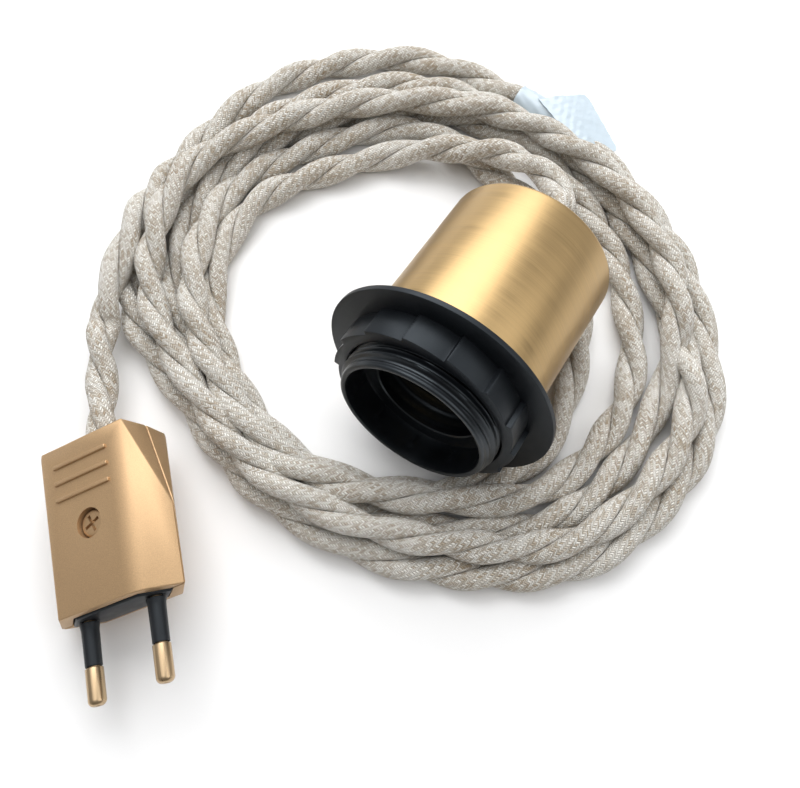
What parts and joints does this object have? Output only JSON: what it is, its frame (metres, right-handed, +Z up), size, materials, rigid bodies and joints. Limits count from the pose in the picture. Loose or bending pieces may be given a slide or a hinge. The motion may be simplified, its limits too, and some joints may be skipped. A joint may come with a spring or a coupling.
{
  "type": "plug-in pendant light",
  "caption": "Pendant lamp holder in a brass cup with a screw-on shade ring, on a coiled twisted two-strand textile cord with a flat two-pin plug.",
  "frame": {"origin": "on the floor, under the middle of the lamp holder without its cord", "axes": "+X towards the holder's mouth in plan, +Z up; the holder lies on the rims of its flange and cup, its mouth tilted up by nearly 9 degrees"},
  "size_m": [0.2125, 0.1764, 0.0574],
  "materials": {
    "brushed_brass": "satin, brushed round the axis",
    "black_plastic": "matt bluish black",
    "insert_ceramic": "glazed off-white",
    "contact_brass": "plain polished",
    "plated_steel": "zinc plated",
    "copper_gold_paint": "metallic copper-gold paint on plastic",
    "blue_core": "insulated core",
    "brown_core": "insulated core",
    "braided_textile": "herringbone braid of off-white and tan yarn",
    "clear_label": "translucent pale film"
  },
  "bodies": {
    "holder": {"brass_cup": "brushed_brass", "holder_skirt": "black_plastic", "holder_cap": "black_plastic", "contact_insert": "insert_ceramic", "centre_contact": "contact_brass", "side_contact": "contact_brass", "terminal_left": "contact_brass", "terminal_right": "contact_brass", "terminal_left_screw": "plated_steel", "terminal_right_screw": "plated_steel", "nipple": "plated_steel", "cup_nut": "plated_steel", "cap_nut": "plated_steel", "cord_grip": "brushed_brass", "grip_screw": "plated_steel", "holder_core_left": "blue_core", "holder_core_right": "brown_core", "plug_front_cover": "copper_gold_paint", "plug_back_cover": "copper_gold_paint", "pin_carrier": "black_plastic", "plug_pin_left": "contact_brass", "plug_pin_right": "contact_brass", "pin_sleeve_left": "black_plastic", "pin_sleeve_right": "black_plastic", "plug_screw": "plated_steel", "plug_nut": "plated_steel", "cord_clamp": "black_plastic", "clamp_screw_left": "plated_steel", "clamp_screw_right": "plated_steel", "plug_terminal_left": "contact_brass", "plug_terminal_right": "contact_brass", "plug_terminal_left_screw": "plated_steel", "plug_terminal_right_screw": "plated_steel", "plug_core_left": "blue_core", "plug_core_right": "brown_core", "cord_coil": "braided_textile", "cord_lead_plug": "braided_textile", "cord_lead_holder": "braided_textile", "label_tag": "clear_label"},
    "shade_ring": {"shade_ring": "black_plastic"}
  },
  "joints": [
    {"name": "shade_ring_turn", "type": "hinge", "parent": "holder", "child": "shade_ring", "pos_m": [0.02178, 0, 0.02885], "axis": [0.9878, 0, 0.1557], "range_deg": [0, 360]}
  ]
}
